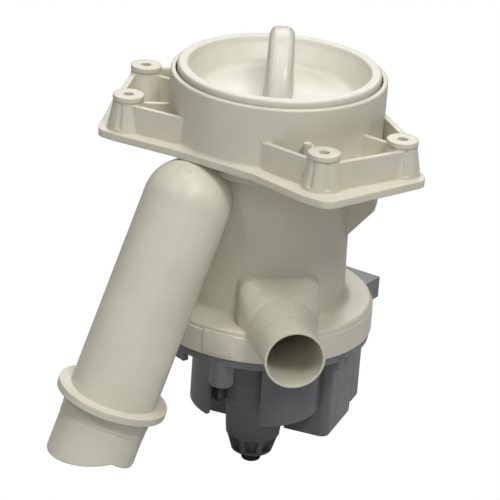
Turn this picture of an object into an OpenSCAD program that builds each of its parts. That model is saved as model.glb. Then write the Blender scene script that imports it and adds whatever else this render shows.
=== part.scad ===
// Washer drain pump with a screw-in filter cap, a slanted inlet pipe and a synchronous motor.
// The origin lies on the pump axis, level with the tops of the four mounting bosses.
// +Z points out of the filter collar, +X along the mounting flange, and sizes are millimetres.

/* [Filter collar] */
// Outer diameter of the collar that the filter cap screws into
collar_d = 88.9; // [84:0.5:94]
// Wall of the collar
collar_wall = 2; // [1.6:0.1:2.4]
// Height of the collar's rim above the mounting bosses
collar_rise = 11; // [8:0.5:16]
// Depth of the gasket seat below the bosses' tops
gasket_seat_drop = 12.5; // [12:0.25:13.5]

/* [Mounting flange] */
// Distance between the two rear bosses
wide_pitch = 125; // [120:1:130]
// Distance between the two front bosses
narrow_pitch = 94; // [92:1:98]
// Place of the rear bosses along Y
wide_y = -5; // [-7:0.5:-3]
// Place of the front bosses along Y
narrow_y = -39; // [-41:0.5:-37]
// Diameter of a boss at its top
boss_d = 12.8; // [11:0.2:14]
// Diameter of a boss at the plate
boss_base_d = 16.4; // [15:0.2:18]
// Diameter of the screw hole in a boss
screw_hole_d = 4; // [3:0.1:5]
// Depth of the screw hole
screw_depth = 12; // [8:0.5:13]
// Thickness of the flange plate
plate_t = 3; // [2.4:0.1:4]
// Depth of the plate's upper face below the bosses' tops
plate_drop = 14.5; // [14:0.5:18]
// Depth of the wing walls' tops below the bosses' tops
wall_drop = 3; // [2:0.25:5]
// Thickness of the wing walls
wing_wall = 2.2; // [1.6:0.1:3]

/* [Neck and pump chamber] */
// Outer diameter of the ring under the plate
step_ring_d = 79.2; // [78.6:0.2:82]
// Height of the ring under the plate
step_ring_h = 6.5; // [5:0.5:9]
// Outer diameter of the neck below the ring
neck_top_d = 66.8; // [66:0.2:70]
// Outer diameter of the neck at the base flange
neck_bottom_d = 68.6; // [67:0.2:72]
// How far the neck draws in between its ends
neck_waist = 0.3; // [0:0.1:1.2]
// Inner diameter of the filter chamber and of the pump chamber
chamber_d = 61.2; // [59:0.2:62]
// Width of the ledge round the throat that the cap gasket sits on
gasket_ledge = 5.85; // [5:0.05:6.5]
// Depth of the throat from that ledge to the filter's seat
throat_h = 9; // [7:0.5:11]
// Distance from the plate's lower face to the base flange
neck_length = 68.3; // [66:0.5:74]
// Diameter of the eye between filter and impeller
eye_d = 24; // [18:0.5:28]
// Thickness of the floor round the eye
eye_floor = 3; // [2:0.25:4]

/* [Web under the plate] */
// Direction of the web round the pump axis
gusset_azimuth = 24; // [18:1:36]
// Distance from the pump axis to the web's outer edge
gusset_reach = 44.3; // [41:0.1:52]
// Thickness of the web
gusset_t = 10; // [6:0.5:14]

/* [Base flange] */
// Outer diameter of the base flange
base_d = 93.2; // [92:0.2:98]
// Height of the base flange's skirt
base_h = 12.9; // [12:0.1:16]
// Height of the small step below the flange's upper edge
base_step_h = 2.2; // [1:0.1:4]
// Depth of that step
base_step = 0.8; // [0.4:0.1:1.5]
// Wall of the skirt
skirt_wall = 2; // [1.6:0.1:3]
// Inner diameter of the flat motor seal
seal_d = 68; // [66:0.5:69]
// Radial width of the motor seal
seal_w = 3; // [2:0.1:3.4]
// Thickness of the motor seal
seal_t = 2; // [1.6:0.1:2.4]

/* [Outlet spigot] */
// Outer diameter of the outlet spigot
outlet_d = 24.6; // [23:0.2:26]
// Wall of the outlet spigot
outlet_wall = 1; // [0.8:0.1:2]
// Direction of the spigot round the pump axis
outlet_azimuth = -47; // [-52:1:-42]
// Distance from the pump axis to the spigot's mouth
outlet_reach = 73.5; // [70:0.5:85]
// Height of the spigot's axis above the lower face of the base flange
outlet_lift = 15.1; // [14.5:0.1:17]
// Width of the saddle that blends the spigot into the neck
saddle_w = 35; // [32:0.5:38]
// Height of the saddle above the spigot's axis
saddle_rise = 18.1; // [16:0.1:20]
// Distance from the pump axis to the saddle's outer end
saddle_end = 58; // [54:0.5:62]

/* [Inlet elbow] */
// Outer diameter of the inlet pipe
inlet_d = 36.2; // [35:0.1:37]
// Wall of the inlet pipe
inlet_wall = 2.5; // [2:0.1:3]
// Place of the dome's centre along X
inlet_x = -11.5; // [-12:0.1:-10]
// Place of the dome's centre along Y
inlet_y = -45; // [-47.5:0.1:-44.5]
// Gap between the dome and the plate
inlet_drop = 0.2; // [0.1:0.1:2]
// Outer diameter of the short duct from the dome to the neck
duct_d = 31; // [29:0.5:32]
// Slant of that duct away from the pump axis
duct_slant = 5; // [0:1:10]
// Angle of the pipe from straight down
inlet_tilt = 26.4; // [23:0.1:28]
// Direction round the dome's centre in which the pipe leans
inlet_swing = -99.2; // [-104:0.1:-98]
// Distance from the dome's centre to the pipe's level end
inlet_length = 105.4; // [100:0.5:120]
// Distance from the dome's centre to the ring collar's lower face
inlet_collar_at = 85.3; // [80:0.2:86]
// Angle of the ring collar from level
collar_tilt = 15.8; // [14:0.2:20]
// Direction in which the ring collar leans
collar_swing = -133; // [-136:1:-104]
// Diameter of the ring collar
inlet_collar_d = 45.8; // [44:0.2:52]
// Thickness of the ring collar
inlet_collar_t = 3; // [2:0.1:5]
// Length of the tongue beyond the pipe's end
tongue_l = 5.3; // [3:0.1:8]

/* [Filter cap] */
// Radial gap between cap and collar
cap_gap = 0.7; // [0.5:0.05:1]
// Height of the cap's rim above the collar
cap_proud = 2.7; // [2:0.1:5]
// Width of the cap's flat rim
cap_rim_w = 4; // [3:0.1:6]
// Depth of the dish below the collar's rim
dish_depth = 8.8; // [7:0.2:10]
// Wall of the cap
cap_wall = 2; // [1.6:0.1:2.6]
// Radius of the dish's flat floor
dish_floor_r = 29; // [28:0.5:31]
// Radius of the half-round grip web
grip_r = 27.2; // [24:0.1:28]
// Thickness of the grip web at its crest
grip_t = 10.4; // [8:0.2:12]
// Thickness of the grip web at its foot
grip_foot_t = 12.4; // [12.2:0.1:14]
// Direction of the grip web
grip_azimuth = -58.5; // [-180:0.5:180]
// Travel of the cap when it is unscrewed
cap_travel = 12; // [8:1:14]

/* [Gasket and filter] */
// Height of the cap gasket
gasket_h = 2.5; // [2:0.1:3.5]
// Thickness of the filter's flange
filter_flange_t = 2.2; // [1.6:0.1:3]
// Number of bar places round the filter basket
filter_bars = 20; // [12:1:24]
// Width of one filter bar
filter_bar_w = 3; // [2:0.1:4]
// Width of the window that faces the inlet, as an angle
filter_window = 100; // [80:5:140]
// Diameter of the filter's stem
filter_stem_d = 10.24; // [9:0.02:11]
// Distance from the filter's flange to its upper rung, and from there to the next
rung_pitch = 14; // [10:1:18]

/* [Motor flange and rotor well] */
// Thickness of the motor flange
motor_flange_t = 3.5; // [3:0.1:5]
// Outer diameter of the rotor well
well_d = 34; // [32.5:0.1:34.6]
// Wall of the rotor well
well_wall = 1.5; // [1.2:0.1:2]
// Depth of the rotor well below the motor flange
well_depth = 32.4; // [31:0.2:36]
// Outer diameter of the narrow tube at its lower end
tube_d = 23.6; // [23:0.1:26]
// How much wider the tube is at its upper end
tube_flare = 2.2; // [0:0.1:3]
// Length of the narrow tube
tube_length = 16.4; // [15.6:0.2:20]
// Diameter of the round boss under the motor flange
lock_boss_d = 10.4; // [9:0.2:12]
// Depth of that boss below the motor flange
lock_boss_h = 11; // [8:0.5:14]
// Distance of that boss from the pump axis
lock_boss_r = 41; // [40:0.1:41.5]

/* [Rear cap and plug] */
// Height of the ribbed rear cap
rear_cap_h = 10.2; // [9:0.1:13]
// Diameter of the rear cap at its lower end
rear_cap_low_d = 17.4; // [17:0.2:20]
// Number of ribs round the rear cap
rear_cap_ribs = 8; // [6:1:10]
// Diameter of the rubber plug
plug_d = 8.4; // [8:0.1:10]
// Length of the plug that shows
plug_proud = 5.2; // [3:0.1:6]

/* [Motor shell] */
// Direction of the motor's coil block round the pump axis
motor_azimuth = 12; // [6:1:18]
// Outer diameter of the skirt walls round the rotor well
shell_d = 56; // [55:0.2:58]
// Thickness of the skirt walls
shell_wall = 1.8; // [1.4:0.1:2.2]
// Depth of the skirt walls below the motor flange
shell_depth = 34.8; // [34:0.2:38]
// Depth of the coil block below the motor flange
block_depth = 48.4; // [46:0.2:50]
// Reach of the coil block to the right of the pump axis
block_right = 32; // [31:0.5:33]
// Reach of the coil block to the left of the pump axis
block_left = 25; // [24.5:0.5:25.5]
// Distance from the pump axis to the coil block's front face
block_front = 4; // [3:0.5:6]
// Distance from the pump axis to the coil block's rear face
block_rear = 37; // [36:0.5:38]
// Distance from the pump axis to the rear face of the cover behind the coils
cover_rear = 51; // [50.5:0.5:53]
// Wall of the coil block and its cover
block_wall = 1.4; // [1.2:0.1:1.6]

/* [Stator] */
// Height of the lamination stack
stack_h = 20; // [16:0.5:20]
// Distance of a limb from the middle of the stator
limb_x = 14.6; // [14:0.1:14.6]
// Width of a limb
limb_w = 8; // [7:0.1:8]
// Width of the yoke that joins the limbs
yoke_w = 5.4; // [4.5:0.1:5.6]
// Radial thickness of a pole arc
pole_t = 4.6; // [4:0.1:5.4]
// Thickness of the winding on a bobbin
winding_t = 3.3; // [2.5:0.1:3.3]

/* [Rotor] */
// Diameter of the rotor magnet
magnet_d = 29; // [27:0.1:30]
// Length of the rotor magnet
magnet_l = 25; // [20:0.5:26]
// Diameter of the shaft
shaft_d = 4; // [3:0.1:5]
// Outer diameter of the bearing bushes
bush_d = 9; // [8:0.1:10]
// Length of the bearing bushes
bush_l = 7; // [5:0.1:8]
// Radial thickness of the bushes' rubber mounts
bush_mount_t = 1.8; // [1.2:0.1:2]

/* [Impeller] */
// Diameter of the impeller
impeller_d = 39; // [34:0.5:46]
// Number of vanes
vanes = 6; // [4:1:8]
// Thickness of a vane
vane_t = 2; // [1.4:0.1:3]
// Height of the vanes
vane_h = 16; // [12:0.5:18]
// Diameter of the hub over the clutch chamber
hub_d = 20; // [19:0.2:22]
// Width of the dog and of the hub's lug, as an angle
dog_angle = 50; // [40:1:70]

/* [Hidden] */
$fn = 96;

cream = [0.86, 0.84, 0.77];
white = [0.88, 0.88, 0.85];
grey = [0.36, 0.37, 0.39];
black = [0.08, 0.08, 0.085];
steel = [0.62, 0.63, 0.65];

// Clearances: fixed seats, pieces that slide past each other, and turning fits
seat_gap = 0.1;
slide_gap = 0.4;
running_gap = 0.05;
cut = 1; // how far a cutting body runs past the face that it opens

// Heights, from the collar's rim down
collar_r = collar_d / 2;
bore_r = collar_r - collar_wall;
plate_top = -plate_drop;
plate_bottom = plate_top - plate_t;
collar_seat = 1 - wall_drop; // the collar's outside is a true cylinder above this and drafted below
collar_draft = 0.35;
ring_bottom = plate_bottom - step_ring_h;
gasket_seat = -gasket_seat_drop;
filter_seat = gasket_seat - throat_h;
base_top = plate_bottom - neck_length;
base_bottom = base_top - base_h;
outlet_z = base_bottom + outlet_lift;
eye_bottom = outlet_z + outlet_d / 2 + 0.3;
eye_top = eye_bottom + eye_floor;
chamber_r = chamber_d / 2;
throat_r = bore_r - gasket_ledge;
base_r = base_d / 2;
seal_r = seal_d / 2;
pocket_h = base_h - 3;

// Flange corners for the right wing, which is mirrored for the left
wing_toe = [narrow_pitch / 2 + 4.2, narrow_y - 5];
wing_heel = [wide_pitch / 2 + 7, wide_y + 2.5];
wing_root = [39.2, 21.6];
front_edge = narrow_y - 7.5;
tray_corners = [[0, 1 - collar_r + 5], wing_toe, wing_heel, wing_root, [0, wing_root.y]];
right_plate = [[7, -8], [5.2, -1.5]];
left_plate = [[3.6, -5], [7.2, -1.5]];
function plate_corners(reach) = [[0, front_edge], [20, front_edge],
    wing_toe + [-5, reach[0].y], wing_toe + reach[0], wing_heel + reach[1],
    wing_root + [3.5, 2.5], [0, wing_root.y + 2.5]];
boss_places = [[narrow_pitch / 2, narrow_y], [wide_pitch / 2, wide_y]];

// Inlet
inlet_r = inlet_d / 2;
inlet_bore_r = inlet_r - inlet_wall;
inlet_centre = [inlet_x, inlet_y, plate_bottom - inlet_drop - inlet_r];
inlet_way = [sin(inlet_tilt) * cos(inlet_swing), sin(inlet_tilt) * sin(inlet_swing), -cos(inlet_tilt)];
duct_r = duct_d / 2;
stub_from = inlet_collar_at + 7; // a shoulder just past the ring collar, where the hose stops
stub_r = inlet_r - 0.2;
lead_from = stub_from + 4; // from here to the slanted end the hose slides on with room
lead_r = stub_r - 0.2;
tongue_x = inlet_r * 0.87;

// Cap
cap_r = bore_r - cap_gap;
cap_top = collar_rise + cap_proud;
dish_floor = collar_rise - dish_depth;
cap_foot = gasket_seat + gasket_h;
stem_r = filter_stem_d / 2;
hub_foot = dish_floor - cap_wall - cap_travel - 4;

// Filter
filter_flange_r = throat_r - slide_gap;
filter_r = chamber_r - slide_gap - 0.2;
filter_foot = eye_top + slide_gap;
filter_rung = 1.8;

// Motor heights
motor_top = base_bottom;
flange_bottom = motor_top - motor_flange_t;
well_bottom = flange_bottom - well_depth;
tube_bottom = well_bottom - tube_length;
rear_cap_bottom = tube_bottom - rear_cap_h;
shell_bottom = flange_bottom - shell_depth;
well_r = well_d / 2;
well_bore_r = well_r - well_wall;
tube_r = tube_d / 2;
tube_bore_r = tube_r - well_wall;
shell_r = shell_d / 2;
shell_bore_r = shell_r - shell_wall;
lintel_h = 8;
motor_flange_r = base_r - 0.7;

// Rotor heights
shaft_r = shaft_d / 2;
bush_r = bush_d / 2;
mount_r = bush_r + bush_mount_t;
plug_top = motor_top + 2.5;
holder_lip_t = 1.5;
holder_lip_r = well_bore_r + 3;
holder_bottom = plug_top - bush_l;
magnet_top = holder_bottom - 2.6;
magnet_bottom = magnet_top - magnet_l;
end_cap_t = 0.9;
washer_t = 0.8;
rear_bush_top = magnet_bottom - end_cap_t - washer_t - 0.25;
rear_bush_bottom = rear_bush_top - bush_l;
shaft_bottom = rear_bush_bottom - 1;

// Impeller heights
hub_r = hub_d / 2;
impeller_r = impeller_d / 2;
impeller_bottom = plug_top + 1;
lid_t = 1.6;
clutch_h = 6;
clutch_bottom = impeller_bottom + lid_t;
clutch_top = clutch_bottom + clutch_h;
clutch_r = hub_r - 2;
nose_top = clutch_top + 7;
shaft_top = nose_top - 1.5;

// Stator and coil block, in a frame turned to the motor's own direction
core_mid = flange_bottom - 20.8;
core_bottom = core_mid - stack_h / 2;
core_top = core_mid + stack_h / 2;
pole_r = well_r + 0.3;
limb_front = 14.6;
yoke_front = block_rear + 5;
coil_front = 20.2;
coil_rear = block_rear - block_wall - 0.3;
bobbin_t = 1;
coil_half_w = limb_w / 2 + bobbin_t + winding_t;
coil_half_h = stack_h / 2 + bobbin_t + winding_t;
block_bottom = flange_bottom - block_depth;
roof_t = 1.2;
block_floor = core_mid - coil_half_h - 2.2; // upper face of the floor under the coils
floor_t = 1.5;
cover_right = block_right - 1.5;
cover_left = block_left - 1.5;
cover_bottom = block_bottom + 1.1;
cover_floor = core_bottom - seat_gap; // the yoke rests here

// Connector shroud at the rear of the motor flange
shroud_x = [0, 21.5];
shroud_y = [47.2, 61.5];
shroud_z = [motor_top - 5.3, motor_top + 4.2];
shroud_wall = 1.4;
blade_w = 6.3;
blade_t = 0.8;
blade_inset = 5.5; // from the shroud's mouth to the blades' ends
blade_gap = 2.2;
blade_z = (shroud_z[0] + shroud_z[1]) / 2;
cover_roof = shroud_z[0] - slide_gap - roof_t; // inner face of the cover's roof, under the shroud
runner_z = cover_roof - 1.6;

// Vector helpers and rounded outlines
function unit(v) = v / norm(v);
function polar(r, a) = [r * cos(a), r * sin(a)];
function arc(centre, r, from, to, steps) =
    [for (i = [0 : steps]) centre + polar(r, from + (to - from) * i / steps)];
function turn(a) = a > 180 ? a - 360 : a < -180 ? a + 360 : a;
function corner(before, tip, after, r) =
    let (u = unit(before - tip), v = unit(after - tip))
    let (half = acos(u * v) / 2, centre = tip + unit(u + v) * r / sin(half))
    let (p = tip + u * r / tan(half) - centre, q = tip + v * r / tan(half) - centre)
    let (start = atan2(p.y, p.x), sweep = turn(atan2(q.y, q.x) - start))
    arc(centre, r, start, start + sweep, 6);
function rounded(points, r) =
    let (n = len(points))
    [for (i = [0 : n - 1]) each corner(points[(i + n - 1) % n], points[i], points[(i + 1) % n], r)];
function inward(edge) = unit([-edge.y, edge.x]);
function inset(points, d) =
    let (n = len(points))
    [for (i = [0 : n - 1])
        let (a = inward(points[i] - points[(i + n - 1) % n]), b = inward(points[(i + 1) % n] - points[i]))
        points[i] + (a + b) * d / (1 + a * b)];

// A ring of rectangular section
module ring(outer, inner, bottom, top) {
    translate([0, 0, bottom]) difference() {
        cylinder(r = outer, h = top - bottom);
        translate([0, 0, -cut]) cylinder(r = inner, h = top - bottom + 2 * cut);
    }
}

// A flat sector of a ring
module sector(outer, inner, from, to) {
    polygon(concat(arc([0, 0], outer, from, to, 24), arc([0, 0], inner, to, from, 24)));
}

module slab(x, y, z) {
    translate([x[0], y[0], z[0]]) cube([x[1] - x[0], y[1] - y[0], z[1] - z[0]]);
}

module both_sides() {
    children();
    mirror([1, 0, 0]) children();
}

// Turned outline of the collar, the neck with its waist and the base flange
function neck_r(t) =
    (neck_top_d + (neck_bottom_d - neck_top_d) * t) / 2 - neck_waist * 4 * t * (1 - t);
module turned_outside() {
    neck_run = ring_bottom - base_top;
    lip = collar_wall / 3;
    foot = 3;
    fillet = 1.8;
    root_r = collar_r + collar_draft;
    rotate_extrude() polygon(concat(
        [[0, collar_rise]],
        arc([collar_r - lip, collar_rise - lip], lip, 90, 0, 4),
        [[collar_r, collar_seat], [root_r, plate_top + fillet]],
        arc([root_r + fillet, plate_top + fillet], fillet, 180, 270, 5),
        [[root_r + fillet, plate_bottom], [step_ring_d / 2, plate_bottom]],
        arc([step_ring_d / 2 - 1, ring_bottom + 1], 1, 0, -90, 4),
        [for (i = [0 : 8]) [neck_r(i / 9), ring_bottom - neck_run * i / 9]],
        arc([neck_r(1) + foot, base_top + foot], foot, 180, 270, 6),
        arc([base_r - base_step - 1.2, base_top - 1.2], 1.2, 90, 0, 4),
        [[base_r - base_step, base_top - base_step_h], [base_r, base_top - base_step_h - 0.4],
            [base_r, base_bottom], [0, base_bottom]]));
}

// Half of the plate with its walled wing; reach is how far the plate runs past its front and rear corner
module wing(reach) {
    translate([0, 0, plate_bottom]) linear_extrude(plate_t) polygon(rounded(plate_corners(reach), 6));
    translate([0, 0, plate_top - cut]) linear_extrude(plate_drop - wall_drop + cut) difference() {
        polygon(rounded(tray_corners, 6));
        polygon(rounded(inset(tray_corners, wing_wall), 4));
    }
    for (place = boss_places) rib_to(place);
}

// Inner rib from the collar to a boss
module rib_to(place) {
    start = collar_r - 5;
    direction = atan2(place.y, place.x);
    rotate(direction) slab([start, norm(place)], [-wing_wall / 2, wing_wall / 2],
        [plate_top - cut, -wall_drop - 0.5]);
}

// Tapered boss with two flutes that face outwards
module boss(place) {
    flute_r = 1.5;
    outward = place == boss_places[0] ? -70 : -15;
    translate([place.x, place.y, plate_top]) difference() {
        union() {
            cylinder(d1 = boss_base_d, d2 = boss_d - 0.8, h = plate_drop - 2);
            translate([0, 0, plate_drop - 2]) cylinder(d = boss_d, h = 2);
        }
        for (side = [-28, 28]) rotate(outward + side) translate([boss_base_d / 2 + 0.3, 0, 1.6])
            rotate([0, -atan((boss_base_d - boss_d) / 2 / plate_drop), 0])
            cylinder(r = flute_r, h = plate_drop - 4, $fn = 24);
    }
}

module boss_holes() {
    for (place = boss_places) translate([place.x, place.y, -screw_depth])
        cylinder(d = screw_hole_d, h = screw_depth + cut);
}

// Web under the plate at the right rear that stiffens it against the neck
module gusset() {
    inner = neck_top_d / 2 - 3;
    rotate(gusset_azimuth) translate([0, gusset_t / 2, 0]) rotate([90, 0, 0]) linear_extrude(gusset_t)
        polygon([[inner, plate_bottom], [gusset_reach, plate_bottom], [gusset_reach, plate_bottom - 24.7],
            [inner + 2, plate_bottom - 39], [inner, plate_bottom - 39]]);
}

// Slice of the saddle at a distance from the pump axis: half width, height over and under the
// spigot's axis, and corner radius
module saddle_slice(from, half, over, under, round) {
    for (y = [-1, 1] * (half - round), z = [round - under, over - round])
        translate([from, y, outlet_z + z]) rotate([0, 90, 0]) cylinder(r = round, h = 0.6, $fn = 32);
}

// Saddle that carries the outlet spigot on the neck: it narrows from a broad foot to the round tube
module saddle() {
    half = saddle_w / 2;
    foot = outlet_z - base_bottom - 0.8;
    tube = outlet_d / 2 + 0.15;
    rotate(outlet_azimuth) {
        hull() {
            saddle_slice(22, half, saddle_rise, foot, 4);
            saddle_slice(34.5, half - 0.7, saddle_rise - 0.4, foot, 6);
        }
        hull() {
            saddle_slice(34.5, half - 0.7, saddle_rise - 0.4, foot, 6);
            saddle_slice(39.5, half - 2.2, saddle_rise - 2.6, foot, 10);
        }
        hull() {
            saddle_slice(39.5, half - 2.2, saddle_rise - 2.6, foot, 10);
            saddle_slice(45.5, tube + 1.5, tube + 1.5, tube + 1, tube + 0.9);
        }
        hull() {
            saddle_slice(45.5, tube + 1.5, tube + 1.5, tube + 1, tube + 0.9);
            saddle_slice(saddle_end - 0.6, tube, tube, tube, tube - 0.01);
        }
    }
}

module outlet_tube(r, from, to) {
    rotate(outlet_azimuth) translate([from, 0, outlet_z]) rotate([0, 90, 0]) cylinder(r = r, h = to - from);
}

// Short duct from the dome into the neck
module inlet_duct(r, length) {
    translate(inlet_centre) rotate([-90, 0, duct_slant]) cylinder(r = r, h = length);
}

module pump_housing() color(cream) difference() {
    union() {
        turned_outside();
        translate([0, 0, plate_bottom]) cylinder(r = collar_r + 2.2, h = plate_t);
        wing(right_plate);
        mirror([1, 0, 0]) wing(left_plate);
        both_sides() for (place = boss_places) boss(place);
        gusset();
        saddle();
        outlet_tube(outlet_d / 2, chamber_r, outlet_reach);
        translate([narrow_pitch / 2 - 11.5, narrow_y + 6, plate_top])
            cylinder(d = 3.2, h = plate_drop - 1);
    }
    both_sides() boss_holes();
    translate([0, 0, gasket_seat]) cylinder(r = bore_r, h = collar_rise - gasket_seat + cut);
    translate([0, 0, filter_seat]) cylinder(r = throat_r, h = gasket_seat - filter_seat + cut);
    translate([0, 0, eye_top]) cylinder(r = chamber_r, h = filter_seat - eye_top + cut);
    translate([0, 0, eye_bottom - cut]) cylinder(d = eye_d, h = eye_floor + 2 * cut);
    translate([0, 0, base_bottom - cut]) cylinder(r = chamber_r, h = eye_bottom - base_bottom + cut);
    ring(seal_r + seal_w + 0.2, seal_r - 0.2, base_bottom - cut, base_bottom + seal_t);
    base_pocket();
    outlet_tube(outlet_d / 2 - outlet_wall, chamber_r - 4, outlet_reach + cut);
    inlet_duct(duct_r - inlet_wall, -inlet_y);
}

// Hollow in the base flange, all round except under the spigot
module base_pocket() {
    free = 42;
    translate([0, 0, base_bottom - cut]) linear_extrude(pocket_h + cut)
        sector(base_r - skirt_wall, seal_r + seal_w + 2, outlet_azimuth + free, outlet_azimuth + 360 - free);
}

// Moves its children to the dome's centre with +Z down the slanted pipe
module along_inlet() {
    translate(inlet_centre) rotate([0, 180 - inlet_tilt, inlet_swing]) children();
}

module inlet_ring_collar() {
    translate(inlet_centre + inlet_way * inlet_collar_at) rotate([0, 180 - collar_tilt, collar_swing])
        translate([0, 0, -inlet_collar_t]) cylinder(d = inlet_collar_d, h = inlet_collar_t);
}

// Everything below the pipe's level end but for one pointed tongue at the front right
module below_end() {
    reach = inlet_d;
    translate(inlet_centre + inlet_way * inlet_length) rotate([90, 0, 31.5]) {
        translate([0, 0, -reach]) linear_extrude(reach)
            polygon([[-reach, 0], [reach, 0], [reach, -reach], [-reach, -reach]]);
        linear_extrude(reach) polygon([[-reach, 0], [tongue_x - 7, 0], [tongue_x - 5.6, -1],
            [tongue_x, -tongue_l], [reach, -tongue_l], [reach, -reach], [-reach, -reach]]);
    }
}

module inlet_elbow() color(cream) difference() {
    seam = 0.03; // the dome is this much fuller than the pipe, so that their faces cross cleanly
    union() {
        translate(inlet_centre) sphere(r = inlet_r + seam);
        inlet_duct(duct_r, -inlet_y - neck_bottom_d / 4);
        along_inlet() cylinder(r = inlet_r, h = stub_from);
        along_inlet() cylinder(r = stub_r, h = lead_from);
        along_inlet() cylinder(r = lead_r, h = inlet_length + inlet_r);
        inlet_ring_collar();
    }
    translate(inlet_centre) sphere(r = inlet_bore_r + seam);
    inlet_duct(duct_r - inlet_wall, -inlet_y);
    translate([0, 0, base_top]) cylinder(d = neck_top_d + 0.1, h = plate_bottom - base_top);
    translate([0, 0, ring_bottom - 0.1]) cylinder(d = step_ring_d + 0.2, h = step_ring_h + 1);
    along_inlet() cylinder(r = inlet_bore_r, h = inlet_length + inlet_r + cut);
    below_end();
}

// Half a turned disc that stands upright as the cap's grip
module half_disc(r, crest, foot, round) {
    rotate([90, 0, grip_azimuth]) rotate_extrude(angle = 180) polygon(concat(
        [[0, -foot / 2]],
        arc([r - round, -crest / 2 + round], round, -90, 0, 4),
        arc([r - round, crest / 2 - round], round, 0, 90, 4),
        [[0, foot / 2]]));
}

module filter_cap() color(white) difference() {
    rim_r = cap_r - cap_rim_w;
    wall_r = cap_r - cap_wall;
    soft = 0.9;
    floor_foot = dish_floor - cap_wall;
    union() {
        rotate_extrude() polygon(concat(
            [[0, dish_floor]],
            arc([dish_floor_r, dish_floor + 4], 4, -90, -20, 6),
            [[rim_r - 1.2, cap_top - 2.4]],
            arc([rim_r + 0.4, cap_top - soft], soft, 150, 90, 4),
            arc([cap_r - soft, cap_top - soft], soft, 90, 0, 4),
            [[cap_r, collar_rise - 2], [cap_r - 0.5, collar_rise - 3], [cap_r - 0.5, cap_foot],
                [wall_r - 0.5, cap_foot], [wall_r - 0.5, cap_top - 5]],
            [[dish_floor_r + 6, dish_floor + 1.6], [dish_floor_r, floor_foot], [0, floor_foot]]));
        translate([0, 0, dish_floor]) half_disc(grip_r, grip_t, grip_foot_t, 3.6);
        translate([0, 0, hub_foot]) cylinder(r = stem_r + cap_wall, h = floor_foot - hub_foot + cut / 2);
    }
    translate([0, 0, floor_foot]) half_disc(grip_r - cap_wall, grip_t - 2 * cap_wall,
        grip_foot_t - 2 * cap_wall, 1.6);
    translate([0, 0, hub_foot - cut]) cylinder(r = stem_r + running_gap, h = floor_foot - hub_foot + cut);
}

module cap_gasket() color(black) {
    ring(bore_r - 0.3, throat_r + 0.3, gasket_seat, gasket_seat + gasket_h);
}

// Basket with bars all round except where the inlet comes in
module lint_filter() color(white) {
    bar_t = 2;
    cross_h = 2.4;
    flange_bore = filter_r - bar_t;
    window_mid = -107;
    top = filter_seat + filter_flange_t;
    ring(filter_flange_r, flange_bore, filter_seat, top);
    ring(filter_r, flange_bore, filter_foot, filter_foot + filter_rung);
    for (i = [1, 2]) translate([0, 0, filter_seat - i * rung_pitch]) linear_extrude(filter_rung)
        sector(filter_r, flange_bore, window_mid + filter_window / 2, window_mid + 360 - filter_window / 2);
    for (i = [0 : filter_bars - 1]) filter_bar(360 * i / filter_bars, window_mid, flange_bore);
    for (a = [30, 150, 270]) rotate(a) slab([0, flange_bore + 0.5], [-1.2, 1.2], [top - cross_h, top]);
    for (a = [0 : 45 : 315]) rotate(a)
        slab([0, flange_bore + 0.5], [-1.1, 1.1], [filter_foot, filter_foot + filter_rung]);
    translate([0, 0, top - cross_h - 0.4]) cylinder(r = stem_r + 1.8, h = cross_h + 0.8);
    translate([0, 0, top - cross_h]) cylinder(r = stem_r, h = dish_floor - cap_wall - 1 - top + cross_h);
}

module filter_bar(a, window_mid, inner) {
    away = abs(turn(a - window_mid - 360 * floor((a - window_mid) / 360)));
    if (away > filter_window / 2 - 5) rotate(a) slab([inner, filter_r - 0.1],
        [-filter_bar_w / 2, filter_bar_w / 2], [filter_foot, filter_seat + filter_flange_t / 2]);
}

module motor_seal() color(black) {
    ring(seal_r + seal_w, seal_r, base_bottom, base_bottom + seal_t);
}

// Bayonet hook under the motor flange
module bayonet_hook(a) {
    rotate(a) {
        top = flange_bottom + cut;
        slab([motor_flange_r - 4.5, motor_flange_r - 2], [-5, 4], [flange_bottom - 5, top]);
        slab([motor_flange_r - 4.5, motor_flange_r + 0.2], [-5, -1.5], [flange_bottom - 3.4, top]);
    }
}

module lock_boss(a) {
    rotate(a) translate([lock_boss_r, 0, flange_bottom - lock_boss_h]) rotate_extrude()
        polygon(concat([[0, 0]], arc([lock_boss_d / 2 - 1.4, 1.4], 1.4, -90, 0, 4),
            [[lock_boss_d / 2, lock_boss_h + cut], [0, lock_boss_h + cut]]));
}

// Shroud that holds the two blades, with its mouth to the rear
module connector_shroud() {
    difference() {
        slab(shroud_x, shroud_y, shroud_z);
        slab(shroud_x + [shroud_wall, -shroud_wall], [shroud_y[0] + 3.5, shroud_y[1] + cut],
            shroud_z + [shroud_wall, -shroud_wall]);
        blade_slots();
    }
    slab([shroud_x[0] + 1, shroud_x[1] - 1], [shroud_y[0] - 5, shroud_y[0] + cut / 2],
        [flange_bottom, motor_top]);
}

function blade_x(i) = (shroud_x[0] + shroud_x[1]) / 2 + (i == 0 ? -1 : 1) * (blade_w + blade_gap) / 2;

module blade_slots() {
    for (i = [0, 1]) {
        wide = [blade_x(i) - blade_w / 2 - seat_gap, blade_x(i) + blade_w / 2 + seat_gap];
        slab(wide, [shroud_y[0] + 2, shroud_y[0] + 4],
            [blade_z - blade_t / 2 - seat_gap, blade_z + blade_t / 2 + seat_gap]);
        slab(wide, [shroud_y[0] + 2 - seat_gap, shroud_y[0] + 2 + blade_t + seat_gap],
            [shroud_z[0] - cut, blade_z + blade_t / 2 + seat_gap]);
    }
}

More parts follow.
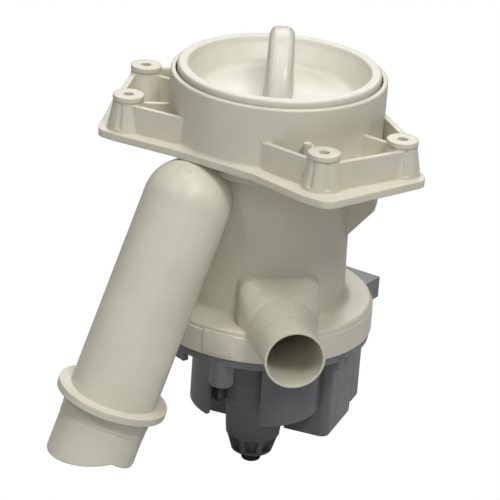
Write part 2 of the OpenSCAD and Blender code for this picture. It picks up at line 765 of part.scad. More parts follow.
module motor_flange() color(grey) {
    difference() {
        union() {
            ring(motor_flange_r, well_bore_r, flange_bottom, motor_top);
            ring(chamber_r - slide_gap, well_bore_r, flange_bottom, plug_top);
            translate([0, 0, well_bottom]) cylinder(r = well_r, h = well_depth + cut);
            translate([0, 0, tube_bottom])
                cylinder(r1 = tube_r, r2 = tube_r + tube_flare / 2, h = tube_length + cut);
        }
        translate([0, 0, well_bottom + well_wall])
            cylinder(r = well_bore_r, h = well_depth + 2 * motor_flange_t);
        translate([0, 0, tube_bottom - cut]) cylinder(r = tube_bore_r, h = tube_length + well_wall + 2 * cut);
        translate([0, 0, plug_top - holder_lip_t])
            cylinder(r = holder_lip_r + seat_gap, h = holder_lip_t + cut);
    }
    for (a = [-79, 180]) lock_boss(a);
    for (a = [-108, -6, 150]) bayonet_hook(a);
    connector_shroud();
}

// The window in the front of the skirt, between two directions
module shell_window(from, to) {
    far = shell_r * 1.3;
    translate([0, 0, shell_bottom - cut]) linear_extrude(shell_depth - lintel_h + cut)
        polygon([[0, 0], polar(far, from), polar(far, (from + to) / 2), polar(far, to)]);
}

module in_motor() {
    rotate(motor_azimuth) children();
}

// Upright block with rounded corners over a range of x and y
module soft_block(x, y, bottom, top, r) {
    translate([0, 0, bottom]) linear_extrude(top - bottom)
        polygon(rounded([[x[0], y[0]], [x[1], y[0]], [x[1], y[1]], [x[0], y[1]]], r));
}

// Outside of the coil block with its cut lower rear corner, and of the cover behind a groove
module coil_block() {
    top = flange_bottom;
    difference() {
        soft_block([-block_left, block_right], [block_front, block_rear], block_bottom, top, 3.6);
        translate([-block_left - cut, 0, 0]) rotate([90, 0, 90])
            linear_extrude(block_left + block_right + 2 * cut)
            polygon([[block_rear - 5, block_bottom - 1], [block_rear + 2, block_bottom - 1],
                [block_rear + 2, block_bottom + 6]]);
    }
    slab([1 - cover_left, cover_right - 1], [block_rear - 2, block_rear + 3], [cover_bottom + 4, top - 0.6]);
    soft_block([-cover_left, cover_right], [block_rear + 1, cover_rear], cover_bottom, top, 2.6);
}

// Room for the coils and the yoke, and the hollows that are open below
module coil_room() {
    inner_x = [block_wall - block_left, block_right - block_wall];
    cover_x = [block_wall - cover_left, cover_right - block_wall];
    slab(inner_x, [block_front + block_wall, block_rear - block_wall], [block_floor, flange_bottom - roof_t]);
    slab(cover_x, [block_rear - 3, cover_rear - block_wall], [cover_floor, cover_roof]);
    low = [block_bottom - cut, block_floor - floor_t];
    for (x = [[inner_x[0], -6.7], [-5.3, 9.3], [10.7, inner_x[1]]])
        slab(x, [block_front + block_wall, block_rear - 6.2], low);
    slab(cover_x, [block_rear + 2.6, cover_rear - block_wall], [cover_bottom - cut, cover_floor - floor_t]);
}

module motor_shell() color(grey) {
    difference() {
        union() {
            difference() {
                ring(shell_r, shell_bore_r, shell_bottom, flange_bottom);
                shell_window(-104, -54);
            }
            in_motor() coil_block();
        }
        in_motor() coil_room();
        translate([0, 0, shell_bottom + 0.6]) cylinder(r = shell_bore_r - 0.25, h = shell_depth + cut);
        translate([0, 0, block_bottom - cut]) cylinder(r = tube_r + tube_flare / 2 + 0.4, h = block_depth);
        slab(shroud_x + [-slide_gap, slide_gap], [shroud_y[0] - slide_gap, cover_rear + shroud_y[1]],
            [shroud_z[0] - slide_gap, flange_bottom + cut]);
        for (i = [0, 1]) slab([blade_x(i) - blade_w / 2 - 0.3, blade_x(i) + blade_w / 2 + 0.3],
            [shroud_y[0] + 1.7, shroud_y[0] + 2.3 + blade_t], [cover_roof - cut, shroud_z[0]]);
    }
    in_motor() for (x = [-16.9, 4]) slab([x - 0.7, x + 0.7], [yoke_front + 0.6, yoke_front + yoke_w - 0.6],
        [core_top + seat_gap, cover_roof + 0.5]);
}

// Ribbed truncated cone that closes the tube
module rear_cap() color(grey) {
    rim_h = 2;
    rim_r = tube_r - 0.2;
    low_r = rear_cap_low_d / 2;
    plug_in = 4;
    inner_top = rim_r - 2.2;
    inner_low = low_r - 2.2;
    difference() {
        union() {
            translate([0, 0, tube_bottom - rim_h]) cylinder(r = rim_r, h = rim_h);
            translate([0, 0, rear_cap_bottom])
                cylinder(r1 = inner_low, r2 = inner_top, h = rear_cap_h - rim_h + 0.01);
            translate([0, 0, rear_cap_bottom]) cylinder(r1 = low_r, r2 = low_r + 0.3, h = 1.4);
            translate([0, 0, tube_bottom - 0.01]) cylinder(r = tube_bore_r - seat_gap, h = plug_in);
            for (i = [0 : rear_cap_ribs - 1]) rotate(360 * i / rear_cap_ribs + 8) rotate([90, 0, 0])
                translate([0, 0, -1.3]) linear_extrude(2.6)
                polygon([[0, tube_bottom - 1], [rim_r - 0.3, tube_bottom - 1],
                    [rim_r - 0.3, tube_bottom - rim_h], [low_r, rear_cap_bottom], [0, rear_cap_bottom]]);
        }
        translate([0, 0, rear_cap_bottom - cut]) cylinder(r = plug_d / 2 - 1, h = 5);
    }
}

module end_plug() color(black) {
    translate([0, 0, rear_cap_bottom - plug_proud]) rotate_extrude() polygon(concat(
        [[0, 0]], arc([plug_d / 2 - 1, 1], 1, -90, 0, 4),
        [[plug_d / 2, plug_proud], [plug_d / 2 - 1.1, plug_proud], [plug_d / 2 - 1.1, plug_proud + 3.8],
            [0, plug_proud + 3.8]]));
}

// U-shaped lamination stack: a pole arc on each side of the well, two limbs and the yoke behind them
module stator_core() color(steel) {
    outer = pole_r + pole_t;
    in_motor() translate([0, 0, core_bottom]) linear_extrude(stack_h) {
        sector(outer, pole_r, -64, 64);
        sector(outer, pole_r, 116, 244);
        for (x = [-limb_x, limb_x]) translate([x - limb_w / 2, limb_front])
            square([limb_w, yoke_front + 1 - limb_front]);
        translate([-limb_x - limb_w / 2, yoke_front]) square([2 * limb_x + limb_w, yoke_w]);
    }
}

// Slice across a coil with rounded corners, larger by d all round
module coil_slice(from, to, d) {
    w = coil_half_w + d;
    h = coil_half_h + d;
    translate([0, to, core_mid]) rotate([90, 0, 0]) linear_extrude(to - from)
        polygon(rounded([[-w, -h], [w, -h], [w, h], [-w, h]], 4 + d));
}

module on_both_limbs() {
    in_motor() for (x = [-limb_x, limb_x]) translate([x, 0, 0]) children();
}

module coil_bobbin() color(white) on_both_limbs() difference() {
    half_w = limb_w / 2 + bobbin_t;
    half_h = stack_h / 2 + bobbin_t;
    flange_t = 1.2;
    union() {
        slab([-half_w, half_w], [coil_front + 0.2, coil_rear - 0.2], [core_mid - half_h, core_mid + half_h]);
        for (y = [coil_front, coil_rear - flange_t]) coil_slice(y, y + flange_t, 0.3);
    }
    slab([-limb_w / 2 - seat_gap, limb_w / 2 + seat_gap], [coil_front - cut, coil_rear + cut],
        [core_bottom - seat_gap, core_top + seat_gap]);
}

module coil_winding() color([0.72, 0.38, 0.18]) on_both_limbs() difference() {
    inner_w = limb_w / 2 + bobbin_t + 0.05;
    inner_h = stack_h / 2 + bobbin_t + 0.05;
    y = [coil_front + 1.25, coil_rear - 1.25];
    coil_slice(y[0], y[1], 0);
    slab([-inner_w, inner_w], y + [-cut, cut], [core_mid - inner_h, core_mid + inner_h]);
}

// Two bent strips: a blade in the shroud, a riser through the cover's roof and a runner over the coil
module terminal_blades() color([0.78, 0.66, 0.38]) {
    riser_y = shroud_y[0] + 2;
    for (i = [0, 1]) {
        x = [blade_x(i) - blade_w / 2, blade_x(i) + blade_w / 2];
        slab(x, [riser_y, shroud_y[1] - blade_inset], [blade_z - blade_t / 2, blade_z + blade_t / 2]);
        slab(x, [riser_y, riser_y + blade_t], [runner_z - blade_t / 2, blade_z]);
        slab([blade_x(i) - 1.2, blade_x(i) + 1.2], [34 + i, riser_y + blade_t / 2],
            [runner_z - blade_t / 2, runner_z + blade_t / 2]);
    }
}

module bearing_holder() color(grey) difference() {
    union() {
        translate([0, 0, plug_top - holder_lip_t]) cylinder(r = holder_lip_r, h = holder_lip_t);
        translate([0, 0, holder_bottom]) cylinder(r = well_bore_r - seat_gap, h = bush_l - cut / 2);
    }
    translate([0, 0, holder_bottom - cut]) cylinder(r = mount_r + 0.02, h = bush_l + 2 * cut);
}

module bush(bottom) {
    ring(bush_r, shaft_r + running_gap, bottom, bottom + bush_l);
}

module front_bearing() color([0.45, 0.4, 0.36]) bush(holder_bottom);

module front_bearing_mount() color(black) ring(mount_r, bush_r + 0.02, holder_bottom, plug_top);

module rear_bearing() color([0.45, 0.4, 0.36]) bush(rear_bush_bottom);

module rear_bearing_mount() color(black)
    ring(tube_bore_r - 0.02, bush_r + 0.02, rear_bush_bottom, rear_bush_bottom + bush_l - 1);

module rotor_magnet() color([0.14, 0.14, 0.15]) ring(magnet_d / 2, shaft_r + 0.02, magnet_bottom, magnet_top);

module rotor_end_caps() color(white) {
    ring(magnet_d / 2 - 0.4, shaft_r + 0.02, magnet_top, magnet_top + end_cap_t);
    ring(magnet_d / 2 - 0.4, shaft_r + 0.02, magnet_bottom - end_cap_t, magnet_bottom);
}

module rotor_shaft() color(steel)
    translate([0, 0, shaft_bottom]) cylinder(r = shaft_r, h = shaft_top - shaft_bottom);

module thrust_washers() color([0.75, 0.7, 0.6]) {
    washer_r = bush_r - 0.4;
    ring(washer_r, shaft_r + 0.05, magnet_top + end_cap_t, magnet_top + end_cap_t + washer_t);
    ring(washer_r, shaft_r + 0.05, magnet_bottom - end_cap_t - washer_t, magnet_bottom - end_cap_t);
}

// Dog fixed on the shaft, which drives the hub's lug after most of a turn
module drive_dog() color(steel) difference() {
    translate([0, 0, clutch_bottom + 0.4]) union() {
        cylinder(r = shaft_r + 1.8, h = clutch_h - 0.8);
        linear_extrude(clutch_h - 0.8) sector(clutch_r - 0.4, shaft_r + 1, -dog_angle / 2, dog_angle / 2);
    }
    translate([0, 0, clutch_bottom]) cylinder(r = shaft_r + 0.02, h = clutch_h);
}

module vane(a) {
    rotate(a) {
        slab([shaft_r + 2, impeller_r], [-vane_t / 2, vane_t / 2],
            [clutch_top - 1, impeller_bottom + vane_h]);
        slab([hub_r - 1, impeller_r], [-vane_t / 2, vane_t / 2], [impeller_bottom + 0.6, clutch_top]);
    }
}

module impeller() color([0.2, 0.2, 0.21]) difference() {
    lug_start = dog_angle / 2 + 2;
    union() {
        translate([0, 0, impeller_bottom]) cylinder(r = hub_r, h = clutch_top + 2 - impeller_bottom);
        translate([0, 0, clutch_top + 1.9])
            cylinder(r1 = hub_r, r2 = shaft_r + 2.2, h = nose_top - clutch_top - 1.9);
        for (i = [0 : vanes - 1]) vane(360 * i / vanes);
    }
    translate([0, 0, impeller_bottom - cut]) cylinder(r = clutch_r + 0.05, h = lid_t + cut);
    translate([0, 0, clutch_bottom - 0.05]) linear_extrude(clutch_h + 0.05)
        sector(clutch_r, 0.01, lug_start + dog_angle, lug_start + 360);
    translate([0, 0, clutch_bottom - 0.05]) cylinder(r = shaft_r + 2.2, h = clutch_h + 0.05);
    translate([0, 0, impeller_bottom - cut])
        cylinder(r = shaft_r + running_gap, h = shaft_top + 0.5 + cut - impeller_bottom);
}

module impeller_lid() color([0.2, 0.2, 0.21])
    ring(clutch_r, shaft_r + running_gap, impeller_bottom, clutch_bottom - 0.05);

pump_housing();
inlet_elbow();
filter_cap();
cap_gasket();
lint_filter();
motor_seal();
motor_flange();
motor_shell();
rear_cap();
end_plug();
stator_core();
coil_bobbin();
coil_winding();
terminal_blades();
bearing_holder();
front_bearing();
front_bearing_mount();
rear_bearing();
rear_bearing_mount();
rotor_magnet();
rotor_end_caps();
rotor_shaft();
thrust_washers();
drive_dog();
impeller();
impeller_lid();
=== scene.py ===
from math import cos, pi, radians, sin

import bmesh
import bpy
from mathutils import Matrix, Vector


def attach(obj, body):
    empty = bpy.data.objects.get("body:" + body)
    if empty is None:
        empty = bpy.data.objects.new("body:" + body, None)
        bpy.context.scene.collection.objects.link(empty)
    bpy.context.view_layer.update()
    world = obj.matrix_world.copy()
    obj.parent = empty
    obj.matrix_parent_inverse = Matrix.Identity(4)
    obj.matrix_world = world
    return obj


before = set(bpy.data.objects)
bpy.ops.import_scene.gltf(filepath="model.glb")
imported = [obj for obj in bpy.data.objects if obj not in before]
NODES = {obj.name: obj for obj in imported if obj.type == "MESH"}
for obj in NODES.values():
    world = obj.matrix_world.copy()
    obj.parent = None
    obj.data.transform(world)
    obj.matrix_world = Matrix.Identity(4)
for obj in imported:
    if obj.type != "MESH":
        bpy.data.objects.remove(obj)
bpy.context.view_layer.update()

MM = 0.001

# Sizes repeated from part.scad
OUTLET_AZIMUTH = radians(-47)
OUTLET_Z = -83.3 * MM
OUTLET_R = 12.3 * MM
INLET_CENTRE = Vector((-11.5 * MM, -45.0 * MM, -35.8 * MM))
DOME_R = 18.13 * MM
FLOOR_Z = -166.5 * MM

# The same, in millimetres, for the pieces that are worked out in millimetres
CAP_SKIRT_R = 41.25
COLLAR_BORE_R = 42.45
THREAD_LEAD = 6

# The photograph's camera, fitted to the collar, the cap and the flange
PHOTO_SIDE = 500
FOCAL_PX = 2625.9
AXIS_RIGHT_PX = 29.6
AXIS_DOWN_PX = 177.8
ELEVATION = radians(19.46)
ROLL = radians(4.30)
RIGHT = (0.853, 0.522, 0)
DISTANCE = 1.07184
AIM_HEIGHT = 11 * MM
SENSOR_WIDTH = 36


def camera():
    """Camera of the photograph: place, tilt and roll, with the lens axis turned to the photo's centre"""
    right = Vector(RIGHT).normalized()
    up_axis = Vector((0, 0, 1))
    depth = up_axis.cross(right)
    back = -depth * cos(ELEVATION) + up_axis * sin(ELEVATION)
    place = up_axis * AIM_HEIGHT + back * DISTANCE
    forward = -back
    up = right.cross(forward)
    rolled_right = cos(ROLL) * right + sin(ROLL) * up
    rolled_up = -sin(ROLL) * right + cos(ROLL) * up
    aim = Vector((AXIS_RIGHT_PX / FOCAL_PX, AXIS_DOWN_PX / FOCAL_PX, 1)).normalized()
    turn = Vector((0, 0, 1)).rotation_difference(aim).to_matrix()
    basis = Matrix((rolled_right, rolled_up, forward)).transposed()
    axes = basis @ turn.transposed()
    facing = Matrix((axes.col[0], axes.col[1], -axes.col[2])).transposed()
    data = bpy.data.cameras.new("photo_camera")
    data.lens = FOCAL_PX / PHOTO_SIDE * SENSOR_WIDTH
    data.sensor_width = SENSOR_WIDTH
    data.clip_start, data.clip_end = 0.05, 50
    obj = bpy.data.objects.new("photo_camera", data)
    bpy.context.scene.collection.objects.link(obj)
    obj.matrix_world = Matrix.Translation(place) @ facing.to_4x4()
    bpy.context.scene.camera = obj


def linear(r, g, b):
    """Linear colour from sRGB values between 0 and 255"""
    def one(v):
        v = v / 255
        return v / 12.92 if v <= 0.04045 else ((v + 0.055) / 1.055) ** 2.4
    return (one(r), one(g), one(b), 1)


class Graph:
    """Short way to write a node tree. Noise scales are cells per metre and heights are metres."""

    def __init__(self, name):
        self.material = bpy.data.materials.new(name)
        self.material.use_nodes = True
        self.tree = self.material.node_tree
        self.tree.nodes.clear()
        self.out = self.add("ShaderNodeOutputMaterial")
        self.place = self.add("ShaderNodeTexCoord").outputs["Object"]

    def add(self, kind, **settings):
        node = self.tree.nodes.new(kind)
        for key, value in settings.items():
            setattr(node, key, value)
        return node

    def feed(self, socket, value):
        if isinstance(value, bpy.types.NodeSocket):
            self.tree.links.new(value, socket)
        else:
            socket.default_value = value

    def maths(self, operation, a, b=0.0, c=0.0):
        node = self.add("ShaderNodeMath", operation=operation)
        for socket, value in zip(node.inputs, (a, b, c)):
            self.feed(socket, value)
        return node.outputs[0]

    def vector(self, operation, a, b=(0, 0, 0)):
        node = self.add("ShaderNodeVectorMath", operation=operation)
        self.feed(node.inputs[0], a)
        self.feed(node.inputs[1], b)
        return node

    def noise(self, scale, detail=3.0, rough=0.5, place=None):
        node = self.add("ShaderNodeTexNoise")
        self.feed(node.inputs["Vector"], place or self.place)
        node.inputs["Scale"].default_value = scale
        node.inputs["Detail"].default_value = detail
        node.inputs["Roughness"].default_value = rough
        return node.outputs["Fac"]

    def spread(self, value, low, high, to_low=0.0, to_high=1.0):
        node = self.add("ShaderNodeMapRange")
        for socket, number in zip(node.inputs, (value, low, high, to_low, to_high)):
            self.feed(socket, number)
        return node.outputs[0]

    def blend(self, factor, a, b):
        node = self.add("ShaderNodeMix", data_type="RGBA")
        factor_in, colour_a, colour_b, colour_out = 0, 6, 7, 2
        self.feed(node.inputs[factor_in], factor)
        self.feed(node.inputs[colour_a], a)
        self.feed(node.inputs[colour_b], b)
        return node.outputs[colour_out]

    def bump(self, height, distance, normal=None, strength=1.0):
        node = self.add("ShaderNodeBump")
        node.inputs["Strength"].default_value = strength
        node.inputs["Distance"].default_value = distance
        self.feed(node.inputs["Height"], height)
        if normal:
            self.feed(node.inputs["Normal"], normal)
        return node.outputs[0]

    def soft_edges(self, radius):
        node = self.add("ShaderNodeBevel", samples=6)
        node.inputs["Radius"].default_value = radius
        return node.outputs[0]

    def finish(self, **inputs):
        shader = self.add("ShaderNodeBsdfPrincipled")
        for key, value in inputs.items():
            self.feed(shader.inputs[key.replace("_", " ")], value)
        self.feed(self.out.inputs["Surface"], shader.outputs[0])
        return self.material


def plastic(name, light, dark, rough, edge=0.5 * MM, grain=0.01 * MM, lines=None, glow=0.0, speck=None):
    """Moulded plastic: slow colour drift, fine grain, soft edges and faint waves of the moulding"""
    wave_height, line_height = 0.22 * MM, 0.05 * MM
    g = Graph(name)
    drift = g.spread(g.noise(38, 4, 0.6), 0.35, 0.68)
    colour = g.blend(drift, dark, light)
    fine = g.noise(2600, 2, 0.6)
    if speck:
        spots = g.spread(g.noise(1500, 1, 0.5), 0.62, 0.74, 0, 0.6)
        colour = g.blend(spots, colour, speck)
    shine = g.spread(g.noise(190, 4, 0.6), 0.3, 0.7, rough - 0.03, rough + 0.05)
    waves = g.bump(g.noise(55, 2, 0.4), wave_height, g.soft_edges(edge), 0.35)
    normal = g.bump(fine, grain, waves)
    if lines:
        normal = g.bump(lines(g), line_height, normal)
    made = g.finish(Base_Color=colour, Roughness=shine, Normal=normal, IOR=1.49)
    shader = next(n for n in g.tree.nodes if n.type == "BSDF_PRINCIPLED")
    if glow:
        shader.subsurface_method = "BURLEY"
        shader.inputs["Subsurface Weight"].default_value = glow
        shader.inputs["Subsurface Radius"].default_value = (1.0, 0.82, 0.5)
        shader.inputs["Subsurface Scale"].default_value = 2.5 * MM
    return made


def spigot_lines(g):
    """Fine rings round the outlet spigot, left by the mould's turning"""
    pitch = 1.1 * MM
    axis = (cos(OUTLET_AZIMUTH), sin(OUTLET_AZIMUTH), 0)
    centre = (0, 0, OUTLET_Z)
    rel = g.vector("SUBTRACT", g.place, centre).outputs[0]
    along = g.vector("DOT_PRODUCT", rel, axis).outputs["Value"]
    off = g.vector("LENGTH", g.vector("CROSS_PRODUCT", rel, axis).outputs[0]).outputs["Value"]
    near = g.spread(off, OUTLET_R + 0.9 * MM, OUTLET_R + 0.3 * MM)
    out = g.spread(along, 40 * MM, 44 * MM)
    wave = g.maths("SINE", g.maths("MULTIPLY", along, 2 * pi / pitch))
    return g.maths("MULTIPLY", g.maths("MULTIPLY", near, out), wave)


def banded(name, light, dark, rough, pitch, axis=2, metallic=0.0, depth=0.2 * MM):
    """Stack or winding with lines at a fixed pitch along one axis"""
    g = Graph(name)
    parts = g.add("ShaderNodeSeparateXYZ")
    g.feed(parts.inputs[0], g.place)
    wave = g.maths("SINE", g.maths("MULTIPLY", parts.outputs[axis], 2 * pi / pitch))
    line = g.spread(wave, -0.9, -0.2)
    colour = g.blend(g.spread(g.noise(300, 3), 0.3, 0.7), dark, light)
    colour = g.blend(line, dark, colour)
    normal = g.bump(line, depth, g.soft_edges(0.2 * MM))
    shine = g.spread(g.noise(500), 0.3, 0.7, rough - 0.06, rough + 0.08)
    return g.finish(Base_Color=colour, Roughness=shine, Normal=normal, Metallic=metallic)


def metal(name, light, dark, rough, stretch=(60, 60, 2500)):
    """Turned or rolled metal with drawn lines"""
    g = Graph(name)
    scaled = g.vector("MULTIPLY", g.place, stretch).outputs[0]
    lines = g.noise(1, 3, 0.6, scaled)
    colour = g.blend(g.spread(lines, 0.3, 0.7), dark, light)
    shine = g.spread(lines, 0.3, 0.7, rough - 0.05, rough + 0.08)
    normal = g.bump(lines, 0.01 * MM, g.soft_edges(0.2 * MM))
    return g.finish(Base_Color=colour, Roughness=shine, Normal=normal, Metallic=1.0)


def stone(name, light, dark, rough, scale=900):
    """Sintered or ferrite surface with a fine crystalline grain"""
    g = Graph(name)
    cells = g.add("ShaderNodeTexVoronoi")
    g.feed(cells.inputs["Vector"], g.place)
    cells.inputs["Scale"].default_value = scale
    grain = g.noise(scale * 2, 3, 0.65)
    colour = g.blend(g.spread(cells.outputs["Distance"], 0.1, 0.6), dark, light)
    shine = g.spread(grain, 0.3, 0.7, rough - 0.08, rough + 0.08)
    normal = g.bump(grain, 0.03 * MM, g.soft_edges(0.3 * MM))
    return g.finish(Base_Color=colour, Roughness=shine, Normal=normal)


MATERIALS = {
    "cream_plastic": plastic("cream_plastic", linear(220, 217, 200), linear(213, 209, 192), 0.36,
                             edge=0.7 * MM, lines=spigot_lines, glow=0.12),
    "cap_plastic": plastic("cap_plastic", linear(222, 220, 206), linear(217, 215, 201), 0.34,
                           edge=0.6 * MM, glow=0.2),
    "filter_plastic": plastic("filter_plastic", linear(224, 224, 216), linear(214, 213, 203), 0.4,
                              edge=0.3 * MM, glow=0.1),
    "bobbin_plastic": plastic("bobbin_plastic", linear(214, 211, 196), linear(202, 198, 182), 0.45,
                              edge=0.3 * MM),
    "motor_plastic": plastic("motor_plastic", linear(118, 119, 122), linear(107, 108, 112), 0.36,
                             grain=0.03 * MM, speck=linear(128, 129, 132)),
    "impeller_plastic": plastic("impeller_plastic", linear(52, 53, 56), linear(40, 41, 44), 0.42,
                                edge=0.3 * MM),
    "washer_plastic": plastic("washer_plastic", linear(206, 196, 168), linear(190, 180, 152), 0.4,
                              edge=0.2 * MM),
    "seal_rubber": plastic("seal_rubber", linear(44, 44, 46), linear(33, 33, 35), 0.62,
                           edge=0.4 * MM, grain=0.04 * MM),
    "plug_rubber": plastic("plug_rubber", linear(78, 78, 80), linear(60, 60, 62), 0.5,
                           grain=0.04 * MM),
    "mount_rubber": plastic("mount_rubber", linear(48, 47, 47), linear(35, 35, 36), 0.65,
                            edge=0.4 * MM, grain=0.04 * MM),
    "core_steel": banded("core_steel", linear(158, 160, 164), linear(98, 99, 103), 0.42,
                         pitch=0.5 * MM, metallic=1.0),
    "winding_wire": banded("winding_wire", linear(196, 104, 52), linear(112, 50, 24), 0.34,
                           pitch=0.45 * MM, axis=0, metallic=0.6),
    "terminal_brass": metal("terminal_brass", linear(214, 190, 120), linear(184, 156, 92), 0.3,
                            stretch=(2500, 60, 60)),
    "sintered_bush": stone("sintered_bush", linear(150, 124, 92), linear(116, 94, 70), 0.5, scale=2600),
    "ferrite_magnet": stone("ferrite_magnet", linear(66, 66, 69), linear(44, 44, 47), 0.55, scale=1400),
    "shaft_steel": metal("shaft_steel", linear(206, 207, 210), linear(168, 170, 174), 0.2),
    "dog_metal": metal("dog_metal", linear(186, 180, 164), linear(150, 145, 132), 0.36),
}

LOOKS = {
    "pump_housing": "cream_plastic", "inlet_elbow": "cream_plastic", "filter_cap": "cap_plastic",
    "cap_gasket": "seal_rubber", "lint_filter": "filter_plastic", "motor_seal": "seal_rubber",
    "motor_flange": "motor_plastic", "motor_shell": "motor_plastic", "rear_cap": "motor_plastic",
    "end_plug": "plug_rubber", "stator_core": "core_steel", "coil_bobbin": "bobbin_plastic",
    "coil_winding": "winding_wire", "terminal_blades": "terminal_brass",
    "bearing_holder": "motor_plastic", "front_bearing": "sintered_bush",
    "front_bearing_mount": "mount_rubber", "rear_bearing": "sintered_bush",
    "rear_bearing_mount": "mount_rubber", "rotor_magnet": "ferrite_magnet",
    "rotor_end_caps": "bobbin_plastic", "rotor_shaft": "shaft_steel",
    "thrust_washers": "washer_plastic", "drive_dog": "dog_metal",
    "impeller": "impeller_plastic", "impeller_lid": "impeller_plastic",
}


def dress_nodes():
    """Every CAD node gets its material on its object's own slots"""
    for name, node in NODES.items():
        look = MATERIALS[LOOKS[name]]
        if not node.material_slots:
            node.data.materials.append(look)
        for slot in node.material_slots:
            slot.material = look


def piece(name, verts, faces, look, body):
    """A new smooth mesh that rides on a body and takes its finish from a slot"""
    mesh = bpy.data.meshes.new(name)
    mesh.from_pydata(verts, [], faces)
    mesh.validate()
    shape = bmesh.new()
    shape.from_mesh(mesh)
    bmesh.ops.recalc_face_normals(shape, faces=shape.faces)
    shape.to_mesh(mesh)
    shape.free()
    for face in mesh.polygons:
        face.use_smooth = True
    mesh.materials.append(MATERIALS[look])
    obj = bpy.data.objects.new(name, mesh)
    bpy.context.scene.collection.objects.link(obj)
    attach(obj, body)
    return obj


def point(r, angle, z):
    """Place in metres of a point given by radius, angle and height in millimetres"""
    return (r * cos(angle) * MM, r * sin(angle) * MM, z * MM)


def swept(sections):
    """Vertices and faces of a closed bar through four-cornered sections"""
    verts = [corner for section in sections for corner in section]
    last = 4 * (len(sections) - 1)
    faces = []
    for a in range(0, last, 4):
        b = a + 4
        faces += [(a + k, a + (k + 1) % 4, b + (k + 1) % 4, b + k) for k in range(4)]
    faces += [(3, 2, 1, 0), tuple(last + k for k in range(4))]
    return verts, faces


def thread(name, wall, tip, low, high, look, body):
    """Screw thread: one ridge on a round wall that fades out at both ends, from height low to high"""
    sink, half_foot, half_crest = 0.12, 1.0, 0.45
    steps, fade_steps = 96, 8
    root = wall + sink if tip < wall else wall - sink
    count = round((high - low) / THREAD_LEAD * steps)
    sections = []
    for i in range(count + 1):
        z = low + THREAD_LEAD * i / steps
        angle = 2 * pi * z / THREAD_LEAD
        crest = wall + (tip - wall) * min(1, i / fade_steps, (count - i) / fade_steps)
        outline = ((root, -half_foot), (crest, -half_crest), (crest, half_crest), (root, half_foot))
        sections.append([point(r, angle, z + rise) for r, rise in outline])
    return piece(name, *swept(sections), look, body)


def curved_pad(name, radii, degrees, heights, soft, look):
    """Raised pad on the housing that follows a round wall, with rounded edges"""
    steps = 18
    inner, outer = radii
    bottom, top = heights
    start, end = radians(degrees[0]), radians(degrees[1])
    sections = []
    for i in range(steps + 1):
        angle = start + (end - start) * i / steps
        outline = ((inner, bottom), (outer, bottom), (outer, top), (inner, top))
        sections.append([point(r, angle, z) for r, z in outline])
    obj = piece(name, *swept(sections), look, "housing")
    round_off = obj.modifiers.new("round_off", "BEVEL")
    round_off.width = soft * MM
    round_off.segments = 3
    round_off.limit_method = "ANGLE"
    return obj


def gate_mark():
    """Small sunk ring on the pipe's dome, where the mould was filled"""
    way = Vector((0.2455, -0.3639, 0.8985)).normalized()
    turn = way.to_track_quat("Z", "Y").to_matrix()
    centre = INLET_CENTRE + way * DOME_R
    bottom = -0.25
    profile = [(0.55, bottom), (0.75, 0.02), (1.0, 0.10), (1.35, 0.06), (1.7, -0.12)]
    steps = 32
    angles = [2 * pi * k / steps for k in range(steps)]
    verts = [centre + turn @ Vector(point(r, angle, h)) for r, h in profile for angle in angles]
    verts.append(centre + turn @ Vector(point(0, 0, bottom)))
    faces = []
    for ring in range(0, (len(profile) - 1) * steps, steps):
        for k in range(steps):
            after = (k + 1) % steps
            faces.append((ring + k, ring + after, ring + steps + after, ring + steps + k))
    faces += [(len(verts) - 1, k, (k + 1) % steps) for k in range(steps)]
    piece("gate_mark", verts, faces, "cream_plastic", "housing")


def add_details():
    """Pieces that the CAD leaves out, in millimetres: threads, the dome's mark, a pad and two ledges"""
    foot = -8.4
    thread("cap_thread", wall=CAP_SKIRT_R, tip=CAP_SKIRT_R + 0.55, low=foot, high=6.4,
           look="cap_plastic", body="cap")
    thread("collar_thread", wall=COLLAR_BORE_R, tip=COLLAR_BORE_R - 0.25,
           low=foot + THREAD_LEAD / 2, high=6.6, look="cream_plastic", body="housing")
    gate_mark()
    curved_pad("skirt_pad", radii=(46.0, 47.0), degrees=(-88.5, -71.5), heights=(-97.6, -87.2),
               soft=0.38, look="cream_plastic")
    curved_pad("ledge_upper", radii=(27.4, 30.6), degrees=(-75, -56), heights=(-106.6, -104.4),
               soft=0.35, look="motor_plastic")
    curved_pad("ledge_lower", radii=(27.4, 29.4), degrees=(-71, -56), heights=(-109.6, -108.2),
               soft=0.3, look="motor_plastic")


# Name, direction from the pump, side length and power of each soft box
LIGHTS = [
    ("key_right", (0.53, -0.31, 0.79), 0.42, 10),
    ("key_left", (-0.21, -0.64, 0.75), 0.40, 3.4),
    ("front", (0.48, -0.74, 0.50), 0.36, 2.0),
    ("overhead", (0.05, 0.05, 1.0), 1.0, 10.5),
    ("rear_rim", (-0.50, 0.80, 0.60), 0.7, 5),
]
LIGHT_DISTANCE = 1.5
LIGHT_AIM = Vector((0, 0, -0.05))
AMBIENT = 0.05


def soft_box(name, way, side, power):
    """Square light at a fixed distance that faces the middle of the pump"""
    data = bpy.data.lights.new(name, "AREA")
    data.shape = "RECTANGLE"
    data.size = side
    data.size_y = side
    data.energy = power
    obj = bpy.data.objects.new(name, data)
    bpy.context.scene.collection.objects.link(obj)
    place = Vector(way).normalized() * LIGHT_DISTANCE
    obj.location = place
    obj.rotation_euler = (LIGHT_AIM - place).to_track_quat("-Z", "Y").to_euler()


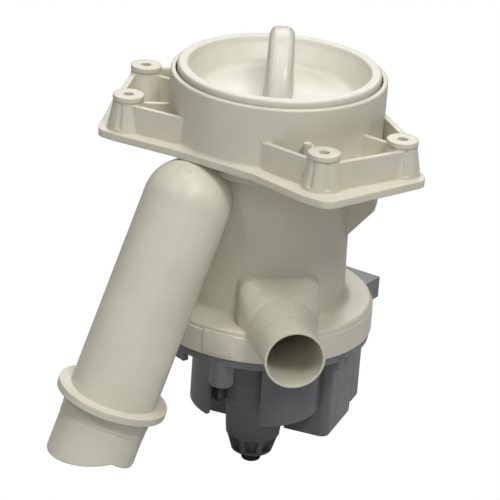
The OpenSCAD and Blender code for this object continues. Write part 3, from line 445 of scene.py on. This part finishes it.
def world_light():
    """World that is white to the camera and faint and slightly warm to everything else"""
    world = bpy.data.worlds.new("studio")
    bpy.context.scene.world = world
    world.use_nodes = True
    tree = world.node_tree
    tree.nodes.clear()
    out = tree.nodes.new("ShaderNodeOutputWorld")
    mix = tree.nodes.new("ShaderNodeMixShader")
    path = tree.nodes.new("ShaderNodeLightPath")
    seen = tree.nodes.new("ShaderNodeBackground")
    seen.inputs["Color"].default_value = (1, 1, 1, 1)
    ambient = tree.nodes.new("ShaderNodeBackground")
    ambient.inputs["Color"].default_value = (1.0, 0.99, 0.97, 1)
    ambient.inputs["Strength"].default_value = AMBIENT
    tree.links.new(path.outputs["Is Camera Ray"], mix.inputs[0])
    tree.links.new(ambient.outputs[0], mix.inputs[1])
    tree.links.new(seen.outputs[0], mix.inputs[2])
    tree.links.new(mix.outputs[0], out.inputs[0])


def floor_sheet():
    """Floor that is white to the camera and a matt light grey to everything else"""
    g = Graph("studio_floor")
    sheet = g.add("ShaderNodeBsdfDiffuse")
    sheet.inputs["Color"].default_value = (0.6, 0.6, 0.6, 1)
    white = g.add("ShaderNodeEmission")
    white.inputs["Strength"].default_value = 1.0
    both = g.add("ShaderNodeMixShader")
    g.feed(both.inputs[0], g.add("ShaderNodeLightPath").outputs["Is Camera Ray"])
    g.feed(both.inputs[1], sheet.outputs[0])
    g.feed(both.inputs[2], white.outputs[0])
    g.feed(g.out.inputs["Surface"], both.outputs[0])
    half = 4.0
    corners = [(x * half, y * half, FLOOR_Z) for x, y in ((-1, -1), (1, -1), (1, 1), (-1, 1))]
    mesh = bpy.data.meshes.new("floor")
    mesh.from_pydata(corners, [], [(0, 1, 2, 3)])
    mesh.materials.append(g.material)
    floor = bpy.data.objects.new("floor", mesh)
    bpy.context.scene.collection.objects.link(floor)


def studio():
    """Plain white room with five soft boxes"""
    bpy.context.scene.view_settings.view_transform = "Standard"
    world_light()
    floor_sheet()
    for name, way, side, power in LIGHTS:
        soft_box(name, way, side, power)


camera()
studio()
dress_nodes()
add_details()
